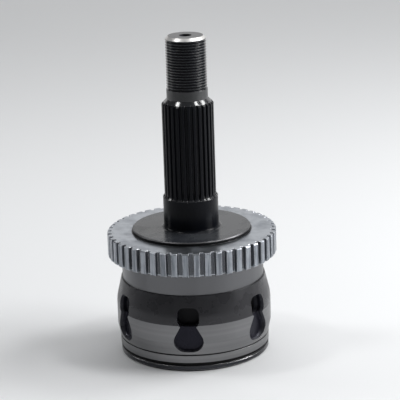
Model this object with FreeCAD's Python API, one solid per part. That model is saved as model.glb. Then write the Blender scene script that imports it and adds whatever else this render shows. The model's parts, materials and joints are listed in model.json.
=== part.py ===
import FreeCAD, Part

import math
import os

from FreeCAD import Vector

# Fixed ball joint of a driven front wheel: bell with stub shaft, speed-sensor ring, cage,
# inner race, six balls and a wire retaining clip. Millimetres and degrees.
# The bell stands on its rim at z = 0 and the stub shaft points up along +Z.

# ---- ball set and bend geometry ----
ball_count = 6
ball_radius = 8.731              # 11/16 inch bearing ball
ball_circle_radius = 29.0        # ball centres about the joint axis, joint straight
bend_centre_height = 21.0        # joint centre above the rim
track_offset = 3.5               # each track's own centre lies this far from the joint centre
bell_track_clearance = 0.15
race_track_clearance = 0.24      # takes up the small difference between arc and true ball path
first_ball_angle = 0.0

# ---- bell, outside ----
rim_radius = 40.8
rim_lip_height = 2.9
rim_round = 0.8
boot_groove_height = 2.0
boot_groove_depth = 1.3
boot_seat_radius = 41.0
boot_seat_height = 4.0
stop_line_width = 0.7
stop_line_depth = 0.45
skirt_taper_height = 6.6
belly_radius = 42.35
belly_height = 12.0              # straight part above the taper
shoulder_round = 20.0            # arc from the belly into the upper cone
shoulder_slope = 13.5            # degrees from the axis
shoulder_height = 14.0           # arc and cone together
neck_radius = 38.8
neck_height = 12.6

# ---- bell, inside ----
land_clearance = 0.3             # cage to the bell's spherical lands
mouth_radius = 36.8              # at the rim
mouth_slope = 45.0
track_inner_end = 31.5           # degrees above the track centre where the ball tracks stop
track_sweep = 95.0               # degrees of arc cut, ending outside the mouth

# ---- recesses in the thick walls between the tracks ----
flask_half_width = 8.0
flask_foot = 11.2                # above the rim
flask_corner_radius = 6.0
flask_neck_half_width = 4.3
flask_neck_height = 25.6         # its sides lean in up to here
flask_depth = 3.6
eye_width = 11.8
eye_height = 11.2
eye_middle = 30.5                # above the rim
eye_corner_radius = 3.8
eye_depth = 8.0
recess_floor_round = 1.2

# ---- sensor ring ----
ring_teeth = 48
ring_radius = 46.2
ring_tooth_height = 2.4
ring_tooth_share = 0.56          # of the pitch, just below the tip's edges
ring_flank_slope = 8.0           # degrees
ring_height = 12.9
ring_bore_radius = 32.5
ring_edge_chamfer = 0.5
ring_tooth_edge = 0.3           # small chamfer along each tooth's two edges

# ---- hub shoulder and stub shaft ----
flange_radius = 32.4
flange_height = 2.0              # proud of the sensor ring
flange_chamfer = 0.6
journal_radius = 15.0
journal_height = 18.3
journal_fillet = 1.6
journal_chamfer = 1.2
spline_radius = 14.0
spline_root_radius = 12.85
spline_teeth = 28
spline_plain_foot = 3.4          # full round shaft below the spline's run-out
spline_length = 47.1             # full depth to the chamfer
spline_cutter_radius = 8.0
spline_tooth_share = 0.40        # width of a tooth's tip, as a share of the pitch
spline_gap_share = 0.30          # width of a gap's floor
neck_above_spline_radius = 11.15
neck_above_spline_height = 5.25
thread_radius = 10.97            # M22 x 1.5
thread_core_radius = 10.08
thread_pitch = 1.5
thread_root_flat = 0.19
thread_flank_angle = 30.0        # from square to the axis
thread_length = 28.75
thread_end_chamfer = 1.5
centre_hole_radius = 3.4
centre_pilot_radius = 1.4
centre_pilot_depth = 9.0

# ---- cage ----
cage_radius = 31.0
cage_inner_radius = 26.8
cage_half_height = 15.0
cage_end_bore_radius = 23.6
cage_end_chamfer = 0.6
window_side_clearance = 0.42     # along the joint axis
window_end_clearance = 1.35      # around the joint axis
window_corner_round = 3.0

# ---- inner race ----
race_clearance = 0.3             # inner race to the cage
race_half_height = 11.0
socket_teeth = 26
socket_radius = 12.0             # floor of the spline gaps
socket_tip_radius = 10.9
socket_tooth_share = 0.34
socket_root_share = 0.44
socket_chamfer = 1.0
race_edge_chamfer = 0.6

# ---- retaining clip ----
clip_wire_radius = 1.0
clip_gap = 34.0                  # degrees left open
clip_groove_clearance = 0.12
clip_below_race_top = 2.6        # middle of the wire

# ---- heights and radii that follow ----
joint_centre = Vector(0, 0, bend_centre_height)
track_radius = math.hypot(ball_circle_radius, track_offset)
land_radius = cage_radius + land_clearance
race_radius = cage_inner_radius - race_clearance
boot_groove_top = rim_lip_height + boot_groove_height
boot_seat_top = boot_groove_top + boot_seat_height
stop_line_top = boot_seat_top + stop_line_width
belly_bottom = stop_line_top + skirt_taper_height
belly_top = belly_bottom + belly_height
shoulder_top = belly_top + shoulder_height
ring_seat_height = shoulder_top + neck_height
ring_top = ring_seat_height + ring_height
flange_top = ring_top + flange_height
journal_top = flange_top + journal_height
spline_start = journal_top + spline_plain_foot
spline_chamfer = spline_radius - neck_above_spline_radius
spline_top = spline_start + spline_length
spline_cone_top = spline_top + spline_chamfer
thread_foot = spline_cone_top + neck_above_spline_height
stub_end = thread_foot + thread_length
up = Vector(0, 0, 1)


def spun(points_and_edges):
    """Turns a closed half-section, given as edges in the XZ plane, about the joint axis."""
    return Part.Face(Part.Wire(points_and_edges)).revolve(Vector(0, 0, 0), up, 360)


def line_chain(points):
    """Straight edges from point to point, each point given as radius and height."""
    corners = [Vector(radius, 0, height) for radius, height in points]
    return [Part.makeLine(a, b) for a, b in zip(corners, corners[1:])]


def around(tool, count, first_angle=0.0):
    """Copies of a tool spaced evenly about the joint axis."""
    copies = []
    for index in range(count):
        copy = tool.copy()
        copy.rotate(Vector(0, 0, 0), up, first_angle + index * 360.0 / count)
        copies.append(copy)
    return copies


def ball_track(centre, tube_radius, from_angle, sweep, closed_end):
    """Round-bottomed groove that follows a circle about centre, in the XZ plane."""
    start = math.radians(from_angle)
    middle = centre + Vector(track_radius * math.cos(start), 0, track_radius * math.sin(start))
    along = Vector(-math.sin(start), 0, math.cos(start))
    section = Part.Face(Part.Wire(Part.makeCircle(tube_radius, middle, along)))
    groove = section.revolve(centre, Vector(0, -1, 0), sweep)
    if closed_end:
        end = math.radians(from_angle + sweep)
        last = centre + Vector(track_radius * math.cos(end), 0, track_radius * math.sin(end))
        groove = groove.fuse(Part.makeSphere(tube_radius, last))
    return groove


def spline_gap(root_radius, tip_radius, teeth, floor_share, mouth_share):
    """Cross-section of one gap between spline teeth, in the XY plane about the +X direction."""
    floor_half = math.pi * root_radius * floor_share / teeth
    mouth_half = math.pi * tip_radius * mouth_share / teeth
    reach = 0.6 * (1 if tip_radius > root_radius else -1)
    spread = (mouth_half - floor_half) / (tip_radius - root_radius) * reach
    corners = [
        Vector(root_radius, -floor_half, 0),
        Vector(tip_radius + reach, -mouth_half - spread, 0),
        Vector(tip_radius + reach, mouth_half + spread, 0),
        Vector(root_radius, floor_half, 0),
    ]
    return Part.Face(Part.makePolygon(corners + corners[:1]))


def thread_profile():
    """Half-section of the axle-nut thread, its ridges drawn as rings one pitch apart."""
    flank = (thread_radius - thread_core_radius) * math.tan(math.radians(thread_flank_angle))
    half_crest = (thread_pitch - thread_root_flat) / 2 - flank
    points = [(thread_radius, thread_foot)]
    for index in range(int((thread_length - thread_end_chamfer) / thread_pitch)):
        below = thread_foot + index * thread_pitch + half_crest
        above = below + thread_pitch - 2 * half_crest
        points += [
            (thread_radius, below),
            (thread_core_radius, below + flank),
            (thread_core_radius, above - flank),
            (thread_radius, above),
        ]
    return points + [
        (thread_radius, stub_end - thread_end_chamfer),
        (thread_radius - thread_end_chamfer, stub_end),
    ]


def bell_and_stub_blank():
    """Outside of the one-piece forging, turned: bell, flange, journal and stub shaft."""
    slope = math.radians(shoulder_slope)
    arc_middle = slope / 2
    arc_centre_radius = belly_radius - shoulder_round
    arc_half = Vector(
        arc_centre_radius + shoulder_round * math.cos(arc_middle),
        0,
        belly_top + shoulder_round * math.sin(arc_middle),
    )
    arc_end = Vector(
        arc_centre_radius + shoulder_round * math.cos(slope),
        0,
        belly_top + shoulder_round * math.sin(slope),
    )
    cone_end = arc_end.x - (shoulder_top - arc_end.z) * math.tan(slope)
    below = [
        (0, 0),
        (rim_radius - rim_round, 0),
        (rim_radius, rim_round),
        (rim_radius, rim_lip_height),
        (boot_seat_radius - boot_groove_depth, rim_lip_height),
        (boot_seat_radius - boot_groove_depth, boot_groove_top),
        (boot_seat_radius, boot_groove_top),
        (boot_seat_radius, boot_seat_top),
        (boot_seat_radius - stop_line_depth, boot_seat_top),
        (boot_seat_radius - stop_line_depth, stop_line_top),
        (boot_seat_radius, stop_line_top),
        (belly_radius, belly_bottom),
        (belly_radius, belly_top),
    ]
    above = [
        (arc_end.x, arc_end.z),
        (cone_end, shoulder_top),
        (neck_radius, shoulder_top),
        (neck_radius, ring_seat_height),
        (ring_bore_radius, ring_seat_height),
        (ring_bore_radius, ring_top),
        (flange_radius, ring_top),
        (flange_radius, flange_top - flange_chamfer),
        (flange_radius - flange_chamfer, flange_top),
        (journal_radius + journal_fillet, flange_top),
    ]
    stub = [
        (journal_radius, flange_top + journal_fillet),
        (journal_radius, journal_top - journal_chamfer),
        (spline_radius, journal_top),
        (spline_radius, spline_top),
        (neck_above_spline_radius, spline_cone_top),
        (neck_above_spline_radius, thread_foot),
        *thread_profile(),
        (0, stub_end),
        (0, 0),
    ]
    belly_edge = Vector(belly_radius, 0, belly_top)
    shoulder_arc = Part.Arc(belly_edge, arc_half, arc_end).toShape()
    fillet_centre = Vector(journal_radius + journal_fillet, 0, flange_top + journal_fillet)
    fillet_half = fillet_centre - Vector(1, 0, 1) * (journal_fillet / math.sqrt(2))
    fillet_arc = Part.Arc(fillet_centre - up * journal_fillet, fillet_half,
                          fillet_centre - Vector(journal_fillet, 0, 0)).toShape()
    return spun(line_chain(below) + [shoulder_arc] + line_chain(above)
                + [fillet_arc] + line_chain(stub))


def bell_cavity():
    """Spherical bore for the cage, with the mouth coned open for the bent shaft."""
    below_rim = 2.0
    slope = math.tan(math.radians(mouth_slope))
    cone_bottom = mouth_radius + below_rim / slope
    cone_height = below_rim + mouth_radius * slope
    cone = Part.makeCone(cone_bottom, 0, cone_height, Vector(0, 0, -below_rim))
    return Part.makeSphere(land_radius, joint_centre).fuse(cone)


def flask_outline():
    """Face in the YZ plane: flat foot, round corners, straight sides that lean in to a neck."""
    corner_y = flask_half_width - flask_corner_radius
    corner_z = flask_foot + flask_corner_radius
    rise = flask_neck_height - corner_z
    lean = flask_neck_half_width - corner_y
    to_neck = math.atan2(rise, lean)
    side_angle = to_neck - math.acos(flask_corner_radius / math.hypot(rise, lean))
    half_way = (side_angle - math.pi / 2) / 2

    def on_corner(angle, side):
        return Vector(0, side * (corner_y + flask_corner_radius * math.cos(angle)),
                      corner_z + flask_corner_radius * math.sin(angle))

    edges = []
    for side in (1, -1):
        top = Vector(0, side * flask_neck_half_width, eye_middle)
        neck = Vector(0, side * flask_neck_half_width, flask_neck_height)
        shoulder = on_corner(side_angle, side)
        foot = on_corner(-math.pi / 2, side)
        edges += [
            Part.makeLine(top, neck),
            Part.makeLine(neck, shoulder),
            Part.Arc(shoulder, on_corner(half_way, side), foot).toShape(),
            Part.makeLine(foot, Vector(0, 0, flask_foot)),
        ]
    edges.append(Part.makeLine(Vector(0, flask_neck_half_width, eye_middle),
                               Vector(0, -flask_neck_half_width, eye_middle)))
    return Part.Face(Part.Wire(Part.__sortEdges__(edges)))


def wall_recess():
    """Flask-shaped recess whose neck runs into a smaller, deeper eye, on the +X side."""
    flask_floor = belly_radius - flask_depth
    flask = flask_outline().extrude(Vector(2 * flask_depth, 0, 0))
    flask.translate(Vector(flask_floor, 0, 0))
    eye_floor = belly_radius - eye_depth
    eye = Part.makeBox(2 * eye_depth, eye_width, eye_height,
                       Vector(eye_floor, -eye_width / 2, eye_middle - eye_height / 2))
    corners = [edge for edge in eye.Edges if edge.BoundBox.XLength > eye_depth]
    eye = eye.makeFillet(eye_corner_radius, corners)
    rounded = []
    for hollow, floor in ((flask, flask_floor), (eye, eye_floor)):
        edges = [edge for edge in hollow.Edges if edge.BoundBox.XMax < floor + 0.01]
        rounded.append(hollow.makeFillet(recess_floor_round, edges))
    return rounded[0].fuse(rounded[1])


def stub_spline_gap():
    """One gap of the stub's spline: straight, then rising out along the cutter's arc."""
    section = spline_gap(spline_root_radius, spline_radius, spline_teeth,
                         spline_gap_share, 1 - spline_tooth_share)
    section.translate(Vector(0, 0, spline_start))
    straight = section.extrude(Vector(0, 0, spline_length + spline_chamfer + 1))
    cutter_axis = Vector(spline_root_radius + spline_cutter_radius, 0, spline_start)
    run_out_angle = math.degrees(
        math.acos(1 - (spline_radius - spline_root_radius) / spline_cutter_radius))
    run_out = section.revolve(cutter_axis, Vector(0, -1, 0), run_out_angle + 5)
    return straight.fuse(run_out)


def centre_hole():
    """Countersunk lathe centre in the stub's end."""
    taper_depth = (centre_hole_radius - centre_pilot_radius) * math.tan(math.radians(60))
    taper = Part.makeCone(centre_pilot_radius, centre_hole_radius, taper_depth,
                          Vector(0, 0, stub_end - taper_depth))
    pilot = Part.makeCylinder(centre_pilot_radius, centre_pilot_depth,
                              Vector(0, 0, stub_end - centre_pilot_depth))
    return taper.fuse(pilot)


def make_outer_race():
    bell = bell_and_stub_blank().cut(bell_cavity())
    track_centre = joint_centre - up * track_offset
    track = ball_track(track_centre, ball_radius + bell_track_clearance,
                       track_inner_end - track_sweep, track_sweep, True)
    bell = bell.cut(around(track, ball_count, first_ball_angle))
    half_pitch = 180.0 / ball_count
    bell = bell.cut(around(wall_recess(), ball_count, first_ball_angle + half_pitch))
    bell = bell.cut(around(stub_spline_gap(), spline_teeth))
    return bell.cut(centre_hole())


def make_tone_ring():
    root_radius = ring_radius - ring_tooth_height
    body = Part.makeCylinder(ring_radius, ring_height, Vector(0, 0, ring_seat_height))
    bore = Part.makeCylinder(ring_bore_radius, ring_height, Vector(0, 0, ring_seat_height))
    lean = math.tan(math.radians(ring_flank_slope)) * ring_tooth_height
    mouth_half = math.pi * ring_radius * (1 - ring_tooth_share) / ring_teeth
    floor_half = mouth_half - lean
    over = 1.0
    edge_half = mouth_half + ring_tooth_edge
    half_section = [
        (root_radius, floor_half),
        (ring_radius - ring_tooth_edge, mouth_half),
        (ring_radius, edge_half),
        (ring_radius + over, edge_half + over),
    ]
    corners = [Vector(radius, -half, ring_seat_height) for radius, half in half_section]
    corners += [Vector(radius, half, ring_seat_height) for radius, half in half_section[::-1]]
    gap = Part.Face(Part.makePolygon(corners + corners[:1])).extrude(up * ring_height)
    half_pitch = 180.0 / ring_teeth
    rims = [edge for edge in body.Edges if edge.Curve.TypeId == "Part::GeomCircle"]
    blank = body.makeChamfer(ring_edge_chamfer, rims).cut(bore)
    return blank.cut(around(gap, ring_teeth, half_pitch))


def make_cage():
    low = bend_centre_height - cage_half_height
    height = 2 * cage_half_height
    slab = Part.makeCylinder(cage_radius, height, Vector(0, 0, low))
    rim = math.sqrt(cage_radius ** 2 - cage_half_height ** 2)
    shell = Part.makeSphere(cage_radius, joint_centre).common(slab)
    hollow = Part.makeSphere(cage_inner_radius, joint_centre)
    bore = Part.makeCylinder(cage_end_bore_radius, height, Vector(0, 0, low))
    flare = cage_end_bore_radius + cage_end_chamfer
    for base, direction in ((low, 1), (low + height, -1)):
        cone = Part.makeCone(flare, flare - cage_end_chamfer, cage_end_chamfer,
                             Vector(0, 0, base), Vector(0, 0, direction))
        bore = bore.fuse(cone)
    if flare >= rim:
        raise ValueError("the cage's end bores break out of its rims")
    shell = shell.cut(hollow).cut(bore)
    half_length = ball_radius + window_end_clearance
    half_width = ball_radius + window_side_clearance
    depth = cage_radius
    window = Part.makeBox(depth, 2 * half_length, 2 * half_width,
                          Vector(depth / 2, -half_length, bend_centre_height - half_width))
    corners = [edge for edge in window.Edges
               if edge.BoundBox.XLength > depth - 0.01]
    window = window.makeFillet(window_corner_round, corners)
    return shell.cut(around(window, ball_count, first_ball_angle))


def make_inner_race():
    low = bend_centre_height - race_half_height
    height = 2 * race_half_height
    slab = Part.makeCylinder(race_radius, height, Vector(0, 0, low))
    race = Part.makeSphere(race_radius, joint_centre).common(slab)
    bore = Part.makeCylinder(socket_tip_radius, height, Vector(0, 0, low))
    lead_in = socket_radius + socket_chamfer
    lead_height = lead_in - socket_tip_radius
    for base, direction in ((low, 1), (low + height, -1)):
        cone = Part.makeCone(lead_in, socket_tip_radius, lead_height,
                             Vector(0, 0, base), Vector(0, 0, direction))
        bore = bore.fuse(cone)
    race = race.cut(bore)
    gap = spline_gap(socket_radius, socket_tip_radius, socket_teeth,
                     socket_root_share, 1 - socket_tooth_share)
    gap.translate(Vector(0, 0, low))
    race = race.cut(around(gap.extrude(up * height), socket_teeth))
    groove_half = clip_wire_radius + clip_groove_clearance
    clip_height = low + height - clip_below_race_top
    groove = Part.makeCylinder(clip_ring_radius() + groove_half, 2 * groove_half,
                               Vector(0, 0, clip_height - groove_half))
    race = race.cut(groove)
    track_centre = joint_centre + up * track_offset
    track = ball_track(track_centre, ball_radius + race_track_clearance, -60, 120, False)
    return race.cut(around(track, ball_count, first_ball_angle))


def clip_ring_radius():
    """Centre line of the clip's wire, which reaches a little into the socket."""
    return socket_radius + clip_wire_radius * 0.35


def make_retaining_clip():
    clip_height = bend_centre_height + race_half_height - clip_below_race_top
    seat = clip_height - clip_groove_clearance
    start = Vector(clip_ring_radius(), 0, seat)
    section = Part.Face(Part.Wire(Part.makeCircle(clip_wire_radius, start, Vector(0, 1, 0))))
    clip = section.revolve(Vector(0, 0, 0), up, 360 - clip_gap)
    clip.rotate(Vector(0, 0, 0), up, clip_gap / 2 - 90)
    return clip


def make_ball(index):
    angle = math.radians(first_ball_angle + index * 360.0 / ball_count)
    place = joint_centre + Vector(ball_circle_radius * math.cos(angle),
                                  ball_circle_radius * math.sin(angle), 0)
    return Part.makeSphere(ball_radius, place)


parts = {
    "outer_race": make_outer_race(),
    "tone_ring": make_tone_ring(),
    "ball_cage": make_cage(),
    "inner_race": make_inner_race(),
    "retaining_clip": make_retaining_clip(),
}
for number in range(ball_count):
    parts[f"ball_{number + 1}"] = make_ball(number)

os.makedirs("parts", exist_ok=True)
for name, shape in parts.items():
    print(name, shape.ShapeType, len(shape.Solids), shape.isValid(), round(shape.Volume, 1))
    shape.exportStep(f"parts/{name}.step")
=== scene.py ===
import json
import math
from types import SimpleNamespace

import bpy
from mathutils import Matrix, Vector


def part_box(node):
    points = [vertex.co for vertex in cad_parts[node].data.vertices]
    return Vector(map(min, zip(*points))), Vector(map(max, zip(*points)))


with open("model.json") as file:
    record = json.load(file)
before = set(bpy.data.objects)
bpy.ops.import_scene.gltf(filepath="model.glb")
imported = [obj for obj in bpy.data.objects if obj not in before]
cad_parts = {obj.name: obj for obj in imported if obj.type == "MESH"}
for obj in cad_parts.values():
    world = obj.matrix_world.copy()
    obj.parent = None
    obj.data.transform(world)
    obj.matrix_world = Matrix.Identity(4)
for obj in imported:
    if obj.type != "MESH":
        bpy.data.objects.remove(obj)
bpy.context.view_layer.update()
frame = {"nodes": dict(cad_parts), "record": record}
mounts = {mount["name"]: mount for mount in frame["record"]["mounts"]}
mm = 0.001

# heights and radii that the finishes follow, from the frame but for the flange's radius
ringLow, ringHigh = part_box("tone_ring")
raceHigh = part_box("outer_race")[1]
ringBottom = ringLow.z
ringTop = ringHigh.z
flangeTop = mounts["hub_seat"]["pos_m"][2]
stubEnd = raceHigh.z
bellyRadius = raceHigh.x
seatRadius = mounts["boot_seat"]["dims"]["r_mm"] * mm
journalRadius = mounts["bearing_journal"]["dims"]["r_mm"] * mm
flangeRadius = 32.4 * mm


def mountEnds(name):
    length = mounts[name]["dims"]["length_mm"] * mm
    low = mounts[name]["pos_m"][2] - length / 2
    return low, low + length


seatBottom, seatTop = mountEnds("boot_seat")
threadFoot, threadTop = mountEnds("axle_nut_thread")
splineTop = mountEnds("washer_neck")[0]
journalTop = mountEnds("bearing_journal")[1]


# working habits: nothing stays selected, and edit mode is left again every time

def clearSelection():
    if bpy.context.object and bpy.context.object.mode != "OBJECT":
        bpy.ops.object.mode_set(mode="OBJECT")
    bpy.ops.object.select_all(action="DESELECT")


def newest(name):
    piece = bpy.context.object
    piece.name = name
    piece.data.name = name
    return piece


# node helpers: each takes sockets or plain values and gives back the output socket

def addNode(tree, kind, **settings):
    node = tree.nodes.new(kind)
    count = len(tree.nodes)
    node.location = (220 * (count % 9), -200 * (count // 9))
    for name, value in settings.items():
        setattr(node, name, value)
    return node


def feed(tree, socket, value):
    if isinstance(value, bpy.types.NodeSocket):
        tree.links.new(value, socket)
    else:
        socket.default_value = value


def calc(tree, operation, *values):
    node = addNode(tree, "ShaderNodeMath", operation=operation)
    for socket, value in zip(node.inputs, values):
        feed(tree, socket, value)
    return node.outputs[0]


def ramp(tree, value, low, high, toLow=0.0, toHigh=1.0, curve="SMOOTHSTEP"):
    node = addNode(tree, "ShaderNodeMapRange", interpolation_type=curve)
    given = {"Value": value, "From Min": low, "From Max": high, "To Min": toLow, "To Max": toHigh}
    for name, content in given.items():
        feed(tree, node.inputs[name], content)
    return node.outputs["Result"]


def mixed(tree, mask, under, over, kind="RGBA"):
    node = addNode(tree, "ShaderNodeMix", data_type=kind)
    first = {"FLOAT": 2, "RGBA": 6}[kind]
    feed(tree, node.inputs[0], mask)
    feed(tree, node.inputs[first], under)
    feed(tree, node.inputs[first + 1], over)
    return node.outputs[{"FLOAT": 0, "RGBA": 2}[kind]]


def zone(tree, value, low, high, blur=0.05 * mm):
    rise = ramp(tree, value, low - blur, low + blur)
    fall = ramp(tree, value, high - blur, high + blur, 1.0, 0.0)
    return calc(tree, "MULTIPLY", rise, fall)


def both(tree, first, second):
    return calc(tree, "MULTIPLY", first, second)


def either(tree, first, *others):
    for other in others:
        first = calc(tree, "MAXIMUM", first, other)
    return first


def without(tree, mask, cut):
    return calc(tree, "MULTIPLY", mask, calc(tree, "SUBTRACT", 1.0, cut))


def layered(tree, value, layers, kind="RGBA"):
    # each layer lies over the ones before it, where its mask is white
    for mask, over in layers:
        value = mixed(tree, mask, value, over, kind)
    return value


def noise(tree, vector, scale, detail=2.0, roughness=0.5):
    node = addNode(tree, "ShaderNodeTexNoise")
    feed(tree, node.inputs["Vector"], vector)
    feed(tree, node.inputs["Scale"], scale)
    feed(tree, node.inputs["Detail"], detail)
    feed(tree, node.inputs["Roughness"], roughness)
    return node.outputs["Fac"]


def newGroup(name, inputs, outputs):
    group = bpy.data.node_groups.new(name, "ShaderNodeTree")
    for label, kind, value in inputs:
        socket = group.interface.new_socket(label, in_out="INPUT", socket_type=kind)
        if kind == "NodeSocketFloat":
            socket.default_value = value
    for label, kind in outputs:
        group.interface.new_socket(label, in_out="OUTPUT", socket_type=kind)
    return group, addNode(group, "NodeGroupInput"), addNode(group, "NodeGroupOutput")


def useGroup(tree, group, **values):
    node = addNode(tree, "ShaderNodeGroup", node_tree=group)
    for name, value in values.items():
        feed(tree, node.inputs[name.capitalize()], value)
    return node


def makeLatheSpace():
    # distance from the joint axis, height, six waves per turn, and a vector that is the same all round
    group, given, result = newGroup(
        "latheSpace", [("Vector", "NodeSocketVector", None)],
        [("Radius", "NodeSocketFloat"), ("Height", "NodeSocketFloat"),
         ("Sixfold", "NodeSocketFloat"), ("Rings", "NodeSocketVector")])
    split = addNode(group, "ShaderNodeSeparateXYZ")
    feed(group, split.inputs[0], given.outputs["Vector"])
    x, y, z = split.outputs
    squares = calc(group, "ADD", calc(group, "MULTIPLY", x, x), calc(group, "MULTIPLY", y, y))
    radius = calc(group, "SQRT", squares)
    turn = calc(group, "ARCTAN2", y, x)
    rings = addNode(group, "ShaderNodeCombineXYZ")
    feed(group, rings.inputs[0], radius)
    feed(group, rings.inputs[2], z)
    feed(group, result.inputs["Radius"], radius)
    feed(group, result.inputs["Height"], z)
    feed(group, result.inputs["Sixfold"], calc(group, "COSINE", calc(group, "MULTIPLY", turn, 6.0)))
    feed(group, result.inputs["Rings"], rings.outputs[0])
    return group


def makeToolMarks():
    # fine turned rings, with coarser feed lines under them
    group, given, result = newGroup(
        "toolMarks",
        [("Rings", "NodeSocketVector", None), ("Fine", "NodeSocketFloat", 2600.0),
         ("Coarse", "NodeSocketFloat", 500.0)],
        [("Relief", "NodeSocketFloat"), ("Shade", "NodeSocketFloat")])
    fine = noise(group, given.outputs["Rings"], given.outputs["Fine"], 2.0, 0.6)
    coarse = noise(group, given.outputs["Rings"], given.outputs["Coarse"], 1.0, 0.5)
    fineShare = calc(group, "MULTIPLY", fine, 0.6)
    coarseShare = calc(group, "MULTIPLY", coarse, 0.4)
    feed(group, result.inputs["Relief"], calc(group, "ADD", fineShare, coarseShare))
    feed(group, result.inputs["Shade"], ramp(group, coarse, 0.35, 0.65))
    return group


def makeHandling():
    # oil smears and faint stains, drawn out along the joint axis
    group, given, result = newGroup(
        "handling",
        [("Vector", "NodeSocketVector", None), ("Size", "NodeSocketFloat", 60.0)],
        [("Smear", "NodeSocketFloat"), ("Stain", "NodeSocketFloat")])
    size = given.outputs["Size"]
    stretch = addNode(group, "ShaderNodeMapping")
    stretch.inputs["Scale"].default_value = (1.0, 1.0, 0.22)
    feed(group, stretch.inputs["Vector"], given.outputs["Vector"])
    smear = noise(group, stretch.outputs[0], size, 3.0, 0.55)
    stain = noise(group, given.outputs["Vector"], calc(group, "MULTIPLY", size, 2.3), 5.0, 0.6)
    feed(group, result.inputs["Smear"], ramp(group, smear, 0.38, 0.66))
    feed(group, result.inputs["Stain"], ramp(group, stain, 0.42, 0.7))
    return group


def makeEdgeRubAndGlint():
    # where a corner is rounded: the Normal rounds it, and the Edge mask marks corners that are painted
    # bright, as rubbed wear and as painted highlight
    group, given, result = newGroup(
        "edgeRub", [("Width", "NodeSocketFloat", 0.3 * mm)],
        [("Edge", "NodeSocketFloat"), ("Normal", "NodeSocketVector")])
    soft = addNode(group, "ShaderNodeBevel", samples=4)
    feed(group, soft.inputs["Radius"], given.outputs["Width"])
    facing = addNode(group, "ShaderNodeNewGeometry")
    meet = addNode(group, "ShaderNodeVectorMath", operation="DOT_PRODUCT")
    feed(group, meet.inputs[0], soft.outputs[0])
    feed(group, meet.inputs[1], facing.outputs["Normal"])
    feed(group, result.inputs["Edge"], ramp(group, meet.outputs["Value"], 0.99, 0.80))
    feed(group, result.inputs["Normal"], soft.outputs[0])
    return group


def makeForgeSkin():
    # grain of scale left by the forge
    group, given, result = newGroup(
        "forgeSkin", [("Vector", "NodeSocketVector", None), ("Size", "NodeSocketFloat", 700.0)],
        [("Relief", "NodeSocketFloat"), ("Shade", "NodeSocketFloat")])
    vector = given.outputs["Vector"]
    lumps = noise(group, vector, given.outputs["Size"], 4.0, 0.6)
    patches = noise(group, vector, calc(group, "MULTIPLY", given.outputs["Size"], 0.15), 3.0, 0.5)
    feed(group, result.inputs["Relief"], lumps)
    feed(group, result.inputs["Shade"], ramp(group, patches, 0.35, 0.7))
    return group


latheSpace = makeLatheSpace()
toolMarks = makeToolMarks()
handling = makeHandling()
edgeRub = makeEdgeRubAndGlint()
forgeSkin = makeForgeSkin()
print("shared effects ready")


def newMaterial(name):
    material = bpy.data.materials.new(name)
    material.use_nodes = True
    tree = material.node_tree
    tree.nodes.clear()
    shader = addNode(tree, "ShaderNodeBsdfPrincipled")
    output = addNode(tree, "ShaderNodeOutputMaterial")
    tree.links.new(shader.outputs[0], output.inputs[0])
    where = addNode(tree, "ShaderNodeTexCoord").outputs["Object"]
    return material, tree, shader, where


def bump(tree, height, distance, strength, normal=None):
    node = addNode(tree, "ShaderNodeBump")
    feed(tree, node.inputs["Height"], height)
    node.inputs["Distance"].default_value = distance
    node.inputs["Strength"].default_value = strength
    if normal:
        tree.links.new(normal, node.inputs["Normal"])
    return node.outputs["Normal"]


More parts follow.
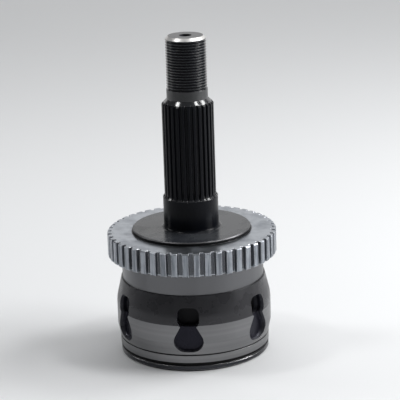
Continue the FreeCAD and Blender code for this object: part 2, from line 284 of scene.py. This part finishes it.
forging = {
    # where one surface ends and the next begins
    "skinFrom": 26.3 * mm,                    # black band left between two turned stretches
    "skinTo": ringBottom - 12.5 * mm,
    "taperTop": seatTop + 7.3 * mm,           # the skirt has its full radius from here
    "bellyTop": seatTop + 19.3 * mm,          # and rounds in again above this
    "shoulderRound": 20.0 * mm,
    "grooveFrom": seatBottom - 2.0 * mm,
    "lineTo": seatTop + 0.7 * mm,
    "recessTop": 37.0 * mm,
    "recessRadius": 34.0 * mm,                # every recess floor lies outside this
    "recessEdge": (0.10 * mm, 0.22 * mm),
    "flaskWall": (1.2 * mm, 2.6 * mm),        # depths at which the wall turns into the floor
    "eyeStart": (3.7 * mm, 4.2 * mm),
    "eyeFloor": (5.25 * mm, 7.0 * mm),        # the deepest part is unlit and oily
    "mouthRadius": 37.2 * mm,                 # the bore is narrower than this at the rim
    "boreRadius": 33.0 * mm,                  # and than this above the mouth's cone
    "mouthTop": 11.0 * mm,
    "trackRadius": 38.35 * mm,
    "cavityTop": ringBottom - 0.3 * mm,
    "footFillet": (1.7 * mm, 1.5 * mm),
    "flangeChamfer": 0.6 * mm,
    "journalTip": 0.9 * mm,
    "splineTip": 2.0 * mm,
    "centreHole": 3.45 * mm,
    "edgeWidth": 0.3 * mm,
    "lipWidth": 0.8 * mm,
    # colours
    "turnedSteel": (0.225, 0.225, 0.230, 1),
    "turnedShade": (0.200, 0.201, 0.207, 1),
    # painted shade: the neck under the tone ring's overhang gets a darker steel than the turned steel
    # below
    "neckSteel": (0.148, 0.150, 0.157, 1),
    "skin": (0.040, 0.040, 0.044, 1),
    "skinPatch": (0.043, 0.043, 0.047, 1),
    # painted light and shade in the recesses: lighter walls as if lit, a darker floor as if in shade
    "recessWall": (0.15, 0.152, 0.172, 1),
    "recessFloor": (0.020, 0.020, 0.029, 1),
    "eyeWall": (0.12, 0.122, 0.14, 1),
    # painted shade: near black in the deepest part of the recesses and in the centre hole
    "eyeDark": (0.010, 0.010, 0.012, 1),
    "polished": (0.022, 0.024, 0.029, 1),
    "polishHaze": (0.040, 0.043, 0.048, 1),
    "flangeEdge": (0.11, 0.11, 0.115, 1),
    # painted shade: the wall round the flange's edge is near black, a painted shadow gap
    "flangeWall": (0.010, 0.010, 0.011, 1),
    "blackShaft": (0.0050, 0.0058, 0.0085, 1),
    # painted highlight, partly rubbed wear, on the shaft's edges
    "shaftRub": (0.14, 0.14, 0.145, 1),
    "rubShare": 0.38,
    "threadTone": (0.007, 0.0085, 0.012, 1),
    "neckTone": (0.009, 0.010, 0.012, 1),
    "tipTone": (0.020, 0.021, 0.024, 1),
    "endSteel": (0.62, 0.61, 0.60, 1),
    # painted shade: the flat end face gets a darker steel than the bright chamfer round it
    "endFace": (0.13, 0.13, 0.133, 1),
    # painted shade: the rim lip is much darker than the turned steel above it
    "rimLip": (0.052, 0.053, 0.060, 1),
    # painted highlight along the rim lip's edges
    "lipRub": (0.50, 0.50, 0.51, 1),
    "hardened": (0.20, 0.185, 0.17, 1),
    # the boot grooves are coloured near black
    "grooveDirt": (0.014, 0.014, 0.015, 1),
    # roughness, as clean and smeared where there are two
    "turnedRough": (0.34, 0.42),
    "skinRough": (0.26, 0.36),
    "flangeRough": (0.14, 0.30),
    "shaftRough": (0.20, 0.30),
    "oilyRough": 0.45,
    "threadRough": 0.17,
    "tipRough": 0.15,
    "bareRough": 0.38,
    "lipRough": 0.24,
    "grooveRough": 0.5,
    # metallic, specular level and relief
    "skinMetal": 0.35,
    "dullShine": 0.10,
    "flangeShine": 0.22,
    "bandShine": 0.30,
    "livelyShine": 0.75,
    "relief": 0.02 * mm,
}


def recessZones(tree, at, radius, height):
    # how far the skirt reaches at this height, to tell its surface from the recesses sunk into it
    skirt = ramp(tree, height, forging["lineTo"], forging["taperTop"], seatRadius, bellyRadius, "LINEAR")
    above = calc(tree, "MAXIMUM", calc(tree, "SUBTRACT", height, forging["bellyTop"]), 0.0)
    roundedIn = calc(tree, "DIVIDE", both(tree, above, above), 2 * forging["shoulderRound"])
    at.depth = calc(tree, "SUBTRACT", calc(tree, "SUBTRACT", skirt, roundedIn), radius)
    outside = calc(tree, "GREATER_THAN", radius, forging["recessRadius"])
    sunk = both(tree, ramp(tree, at.depth, *forging["recessEdge"]), outside)
    at.recess = both(tree, sunk, zone(tree, height, forging["lineTo"], forging["recessTop"]))
    at.eye = both(tree, at.recess, ramp(tree, at.depth, *forging["eyeFloor"]))
    at.band = zone(tree, height, forging["skinFrom"], forging["skinTo"])
    at.skin = either(tree, at.recess, at.band)
    at.aboveBand = ramp(tree, height, forging["skinTo"], forging["skinTo"] + 0.1 * mm)


def cavityZones(tree, at, radius, height, sixfold):
    bore = ramp(tree, height, 0.0, forging["mouthTop"], forging["mouthRadius"], forging["boreRadius"],
                "LINEAR")
    deep = calc(tree, "LESS_THAN", radius, bore)
    nearTracks = calc(tree, "LESS_THAN", radius, forging["trackRadius"])
    inTrack = both(tree, nearTracks, calc(tree, "GREATER_THAN", sixfold, 0.0))
    belowTop = calc(tree, "LESS_THAN", height, forging["cavityTop"])
    at.inside = both(tree, either(tree, deep, inTrack), belowTop)
    at.rimFace = calc(tree, "LESS_THAN", height, 0.03 * mm)
    grooves = either(tree, zone(tree, height, forging["grooveFrom"], seatBottom),
                     zone(tree, height, seatTop, forging["lineTo"]))
    cutIn = calc(tree, "LESS_THAN", radius, seatRadius - 0.1 * mm)
    at.groove = without(tree, both(tree, grooves, cutIn), at.inside)


def shaftZones(tree, at, radius, height):
    filletOut, filletIn = (journalRadius + size for size in forging["footFillet"])
    at.shaft = both(tree, ramp(tree, height, flangeTop + 0.02 * mm, flangeTop + 0.12 * mm),
                    ramp(tree, radius, filletOut, filletIn))
    at.flange = without(tree, ramp(tree, height, ringTop, ringTop + 0.1 * mm), at.shaft)
    wallTop = flangeTop - forging["flangeChamfer"]
    bevel = zone(tree, height, wallTop + 0.02 * mm, flangeTop - 0.02 * mm, 0.02 * mm)
    at.flangeEdge = both(tree, at.flange, bevel)
    at.wall = both(tree, at.flange, ramp(tree, height, wallTop + 0.03 * mm, wallTop))
    at.thread = zone(tree, height, threadFoot, threadTop)
    at.neck = zone(tree, height, splineTop + 0.1 * mm, threadFoot)
    at.tips = either(tree, zone(tree, height, splineTop - forging["splineTip"], splineTop + 0.1 * mm),
                     zone(tree, height, journalTop, journalTop + forging["journalTip"]))
    at.bright = ramp(tree, height, threadTop - 0.03 * mm, threadTop + 0.02 * mm)
    at.flatEnd = ramp(tree, height, stubEnd - 0.04 * mm, stubEnd - 0.01 * mm)
    at.drilled = both(tree, at.bright, calc(tree, "LESS_THAN", radius, forging["centreHole"]))


def forgedColour(tree, at, marks, worn, rub, scale):
    turned = mixed(tree, marks.outputs["Shade"], forging["turnedSteel"], forging["turnedShade"])
    skinTone = mixed(tree, scale.outputs["Shade"], forging["skin"], forging["skinPatch"])
    # painted light and shade in the recesses: lit walls, a shaded floor, and lit walls again where the eye
    # begins
    recessLightAndShade = layered(tree, forging["recessWall"], [
        (ramp(tree, at.depth, *forging["flaskWall"]), forging["recessFloor"]),
        (ramp(tree, at.depth, *forging["eyeStart"]), forging["eyeWall"]),
    ])
    # painted highlight, partly rubbed wear: the shaft's edges are painted lighter
    rubbedAndGlinting = calc(tree, "MULTIPLY", rub.outputs["Edge"], forging["rubShare"])
    shaftTone = layered(tree, forging["blackShaft"], [
        (rubbedAndGlinting, forging["shaftRub"]),
        (at.thread, forging["threadTone"]),
        (at.neck, forging["neckTone"]),
        (at.tips, forging["tipTone"]),
    ])
    return layered(tree, turned, [
        # painted shade on the neck under the tone ring
        (at.aboveBand, forging["neckSteel"]),
        (at.skin, skinTone),
        (at.recess, recessLightAndShade),
        # painted shade in the deepest part of each recess
        (at.eye, forging["eyeDark"]),
        (at.flange, mixed(tree, worn.outputs["Smear"], forging["polished"], forging["polishHaze"])),
        (at.flangeEdge, forging["flangeEdge"]),
        # painted shade on the wall round the flange
        (at.wall, forging["flangeWall"]),
        (at.shaft, shaftTone),
        (at.bright, forging["endSteel"]),
        # painted shade on the flat end face
        (at.flatEnd, forging["endFace"]),
        # painted shade in the centre hole
        (at.drilled, forging["eyeDark"]),
        # painted shade on the rim lip, with painted highlight along its edges
        (at.lip, mixed(tree, rub.outputs["Edge"], forging["rimLip"], forging["lipRub"])),
        (either(tree, at.inside, at.rimFace), forging["hardened"]),
        # the boot grooves are coloured near black
        (at.groove, forging["grooveDirt"]),
    ])


def forgedRoughness(tree, at, worn, scale):
    smear = worn.outputs["Smear"]
    return layered(tree, ramp(tree, smear, 0.0, 1.0, *forging["turnedRough"]), [
        (at.skin, ramp(tree, scale.outputs["Shade"], 0.0, 1.0, *forging["skinRough"])),
        (at.flange, ramp(tree, smear, 0.0, 1.0, *forging["flangeRough"])),
        (either(tree, at.wall, at.eye), forging["oilyRough"]),
        (at.shaft, ramp(tree, smear, 0.0, 1.0, *forging["shaftRough"])),
        (both(tree, at.shaft, at.thread), forging["threadRough"]),
        (both(tree, at.shaft, at.tips), forging["tipRough"]),
        (either(tree, at.bright, at.flangeEdge), forging["bareRough"]),
        (at.lip, forging["lipRough"]),
        (at.groove, forging["grooveRough"]),
    ], "FLOAT")


def makeForgedSteel():
    material, tree, shader, where = newMaterial("forgedAndTurnedSteel")
    radius, height, sixfold, rings = useGroup(tree, latheSpace, vector=where).outputs
    at = SimpleNamespace()                    # masks, one for each kind of surface
    at.lip = zone(tree, height, -1.0 * mm, forging["grooveFrom"])
    recessZones(tree, at, radius, height)
    cavityZones(tree, at, radius, height, sixfold)
    shaftZones(tree, at, radius, height)

    marks = useGroup(tree, toolMarks, rings=rings)
    worn = useGroup(tree, handling, vector=where)
    scale = useGroup(tree, forgeSkin, vector=where)
    rubWidth = mixed(tree, at.lip, forging["edgeWidth"], forging["lipWidth"], "FLOAT")
    rub = useGroup(tree, edgeRub, width=rubWidth)

    feed(tree, shader.inputs["Base Color"], forgedColour(tree, at, marks, worn, rub, scale))
    feed(tree, shader.inputs["Roughness"], forgedRoughness(tree, at, worn, scale))
    feed(tree, shader.inputs["Metallic"], layered(tree, 1.0, [
        (at.skin, forging["skinMetal"]),
        (either(tree, at.shaft, at.flange, at.eye), 0.0),
        (either(tree, at.bright, at.flangeEdge), 1.0),
        (at.groove, 0.0),
    ], "FLOAT"))
    dull = without(tree, either(tree, at.shaft, at.recess, at.wall, at.groove), at.bright)
    lively = both(tree, at.shaft, either(tree, at.thread, at.neck, at.tips))
    feed(tree, shader.inputs["Specular IOR Level"], layered(tree, 0.5, [
        (at.flange, forging["flangeShine"]),
        (at.band, forging["bandShine"]),
        (dull, forging["dullShine"]),
        (lively, forging["livelyShine"]),
    ], "FLOAT"))
    relief = mixed(tree, at.skin, marks.outputs["Relief"], scale.outputs["Relief"], "FLOAT")
    feed(tree, shader.inputs["Normal"], bump(tree, relief, forging["relief"], 0.35, rub.outputs["Normal"]))
    return material


zinc = {
    "plate": (0.36, 0.385, 0.42, 1),
    "haze": (0.28, 0.30, 0.335, 1),
    # painted highlight, partly rubbed wear, along the ring's edges
    "rub": (0.85, 0.87, 0.90, 1),
    "rubWidth": 0.45 * mm,
    "faceEdge": 0.55 * mm,                    # left bright at both faces of the ring
    "toothFoot": (flangeRadius + 6.0 * mm, flangeRadius + 8.0 * mm),
    # painted shade in the gaps between the teeth
    "gapDirt": (0.13, 0.138, 0.155, 1),
    "gapDepth": (0.3 * mm, 1.6 * mm),
    "gapMetal": 0.45,
    # painted reflection: darker streaks drawn down the tooth faces
    "streak": (0.18, 0.195, 0.22, 1),
    "streakSize": 620.0,
    "streakDraw": 0.06,                       # stretched along the teeth
    # grease and painted shade in the gap at the ring's bore
    "boreDirt": (0.02, 0.02, 0.022, 1),
    "boreRing": (flangeRadius + 0.7 * mm, flangeRadius + 0.4 * mm),
    "roughness": (0.28, 0.42),
    "relief": 0.015 * mm,
}


def makeZincPlate():
    material, tree, shader, where = newMaterial("zincPlate")
    radius, height, _, rings = useGroup(tree, latheSpace, vector=where).outputs
    marks = useGroup(tree, toolMarks, rings=rings)
    worn = useGroup(tree, handling, vector=where, size=90.0)
    rub = useGroup(tree, edgeRub, width=zinc["rubWidth"])
    betweenFaces = zone(tree, height, ringBottom + zinc["faceEdge"], ringTop - zinc["faceEdge"], 0.1 * mm)
    onTeeth = both(tree, ramp(tree, radius, *zinc["toothFoot"]), betweenFaces)
    gapFrom, gapTo = (ringHigh.x - depth for depth in zinc["gapDepth"])
    inGap = both(tree, ramp(tree, radius, gapFrom, gapTo), onTeeth)
    drawn = addNode(tree, "ShaderNodeMapping")
    drawn.inputs["Scale"].default_value = (1.0, 1.0, zinc["streakDraw"])
    feed(tree, drawn.inputs["Vector"], where)
    # painted reflection streaks down the tooth faces, also used as a little relief
    streak = ramp(tree, noise(tree, drawn.outputs[0], zinc["streakSize"], 3.0, 0.6), 0.40, 0.62)
    streak = both(tree, streak, onTeeth)

    feed(tree, shader.inputs["Base Color"], layered(tree, zinc["plate"], [
        (worn.outputs["Stain"], zinc["haze"]),
        (streak, zinc["streak"]),
        # painted shade in the gaps between the teeth
        (inGap, zinc["gapDirt"]),
        # painted highlight, partly rubbed wear, along the ring's edges
        (rub.outputs["Edge"], zinc["rub"]),
        # grease and painted shade in the gap at the ring's bore
        (ramp(tree, radius, *zinc["boreRing"]), zinc["boreDirt"]),
    ]))
    feed(tree, shader.inputs["Roughness"], ramp(tree, worn.outputs["Smear"], 0.0, 1.0, *zinc["roughness"]))
    feed(tree, shader.inputs["Metallic"], ramp(tree, inGap, 0.0, 1.0, 1.0, zinc["gapMetal"]))
    relief = calc(tree, "ADD", marks.outputs["Relief"], calc(tree, "MULTIPLY", worn.outputs["Stain"], 0.4))
    relief = calc(tree, "ADD", relief, calc(tree, "MULTIPLY", streak, 1.6))
    feed(tree, shader.inputs["Normal"], bump(tree, relief, zinc["relief"], 0.3, rub.outputs["Normal"]))
    return material


plainSteels = {
    # colour, tint, smoothest, roughest, metallic, relief in mm
    "groundCage": ((0.115, 0.105, 0.098, 1), (0.16, 0.15, 0.14, 1), 0.30, 0.42, 0.8, 0.012),
    "groundRace": ((0.30, 0.29, 0.28, 1), (0.22, 0.205, 0.19, 1), 0.26, 0.38, 1.0, 0.012),
    "polishedBall": ((0.70, 0.70, 0.71, 1), (0.62, 0.62, 0.64, 1), 0.06, 0.12, 1.0, 0.002),
    "bluedWire": ((0.06, 0.065, 0.085, 1), (0.10, 0.10, 0.11, 1), 0.28, 0.40, 0.8, 0.010),
}


def makePlainSteel(name):
    base, tint, smooth, rough, metallic, relief = plainSteels[name]
    material, tree, shader, where = newMaterial(name)
    rings = useGroup(tree, latheSpace, vector=where).outputs["Rings"]
    marks = useGroup(tree, toolMarks, rings=rings)
    worn = useGroup(tree, handling, vector=where, size=140.0)
    rub = useGroup(tree, edgeRub, width=0.2 * mm)
    feed(tree, shader.inputs["Base Color"], mixed(tree, worn.outputs["Stain"], base, tint))
    feed(tree, shader.inputs["Roughness"], ramp(tree, worn.outputs["Smear"], 0.0, 1.0, smooth, rough))
    shader.inputs["Metallic"].default_value = metallic
    feed(tree, shader.inputs["Normal"],
         bump(tree, marks.outputs["Relief"], relief * mm, 0.3, rub.outputs["Normal"]))
    return material


finishes = {name: makePlainSteel(name) for name in plainSteels}
finishes["forgedAndTurned"] = makeForgedSteel()
finishes["zincPlate"] = makeZincPlate()
print("finishes ready:", len(finishes))


def dress(piece, finish):
    piece.data.materials.clear()
    piece.data.materials.append(finishes[finish])


nodes = frame["nodes"]
dress(nodes["outer_race"], "forgedAndTurned")
dress(nodes["tone_ring"], "zincPlate")
dress(nodes["ball_cage"], "groundCage")
dress(nodes["inner_race"], "groundRace")
dress(nodes["retaining_clip"], "bluedWire")
for number in range(1, 7):
    dress(nodes[f"ball_{number}"], "polishedBall")
print("frame dressed:", len(nodes), "nodes")


camera = {
    "distance": 980.4 * mm,
    "height": 370.7 * mm,
    "around": 4.9,                            # degrees right of the recess that faces front
    "pan": 0.297,
    "tilt": 16.31,
    "roll": -1.798,
    "lens": 168.6,
    "sensor": 36.0,
}


def placeCamera():
    around = math.radians(camera["around"])
    spot = Vector((camera["distance"] * math.sin(around), -camera["distance"] * math.cos(around),
                   camera["height"]))
    turn = (Matrix.Rotation(around - math.radians(camera["pan"]), 4, "Z")
            @ Matrix.Rotation(math.radians(90 - camera["tilt"]), 4, "X")
            @ Matrix.Rotation(math.radians(camera["roll"]), 4, "Z"))
    clearSelection()
    bpy.ops.object.camera_add(location=spot, rotation=turn.to_euler())
    eye = bpy.context.object
    eye.data.lens = camera["lens"]
    eye.data.sensor_width = camera["sensor"]
    eye.data.clip_end = 20
    bpy.context.scene.camera = eye


lamps = {
    # name: place in metres, size across and up, watts
    "backPanel": ((0.0, 1.5, 0.55), (2.4, 0.9), 6.2),
    "rightStrip": ((0.85, -0.05, 0.46), (0.45, 0.55), 5.2),
    "leftStrip": ((-0.85, 0.20, 0.45), (0.20, 0.6), 1.3),
    "overhead": ((0.0, 0.2, 1.1), (0.8, 0.5), 3.0),
    "glintLeft": ((-0.47, -0.05, 1.02), (0.14, 0.14), 1.3),
    "glintRight": ((0.46, -0.05, 1.03), (0.14, 0.14), 1.4),
    "rightHigh": ((0.66, 0.30, 0.76), (0.30, 0.30), 3.6),
}


room = {
    "lampsAim": (0, 0, 0.07),
    "sky": (0.80, 0.81, 0.83, 1),
    "skyStrength": 0.12,
    "floorSize": 8,
    "paper": (0.78, 0.79, 0.80, 1),
    "paperGrain": (0.82, 0.83, 0.84, 1),
    "paperRoughness": 0.8,
    # painted light: the paper glows, brightest far out in front, where the lamps give little light
    "glow": 0.42,                             # the lamps stand mostly behind, so the paper helps in front
    "glowAway": (0.6, 1.9),
    "glowFront": (0.7, -0.5),
}


def placeLamps():
    aim = Vector(room["lampsAim"])
    for name, (spot, size, watts) in lamps.items():
        clearSelection()
        direction = aim - Vector(spot)
        bpy.ops.object.light_add(type="AREA", location=spot,
                                 rotation=direction.to_track_quat("-Z", "Y").to_euler())
        lamp = newest(name)
        lamp.data.shape = "RECTANGLE"
        lamp.data.size, lamp.data.size_y = size
        lamp.data.energy = watts
    sky = bpy.data.worlds.new("paleRoom")
    sky.use_nodes = True
    background = sky.node_tree.nodes["Background"]
    background.inputs["Color"].default_value = room["sky"]
    background.inputs["Strength"].default_value = room["skyStrength"]
    bpy.context.scene.world = sky


def layFloor():
    clearSelection()
    bpy.ops.mesh.primitive_plane_add(size=room["floorSize"], location=(0, 0, 0))
    floor = newest("studioFloor")
    material, tree, shader, where = newMaterial("palePaper")
    grain = noise(tree, where, 900.0, 3.0, 0.6)
    feed(tree, shader.inputs["Base Color"], mixed(tree, grain, room["paper"], room["paperGrain"]))
    shader.inputs["Roughness"].default_value = room["paperRoughness"]
    split = addNode(tree, "ShaderNodeSeparateXYZ")
    feed(tree, split.inputs[0], where)
    away = addNode(tree, "ShaderNodeVectorMath", operation="LENGTH")
    feed(tree, away.inputs[0], where)
    # painted light: the paper far out in front glows
    glow = ramp(tree, away.outputs["Value"], *room["glowAway"], 0.0, room["glow"])
    shader.inputs["Emission Color"].default_value = room["sky"]
    feed(tree, shader.inputs["Emission Strength"],
         both(tree, glow, ramp(tree, split.outputs[1], *room["glowFront"])))
    floor.data.materials.append(material)


placeCamera()
placeLamps()
layFloor()
bpy.context.scene.view_settings.view_transform = "Standard"
print("camera, lamps and floor placed")
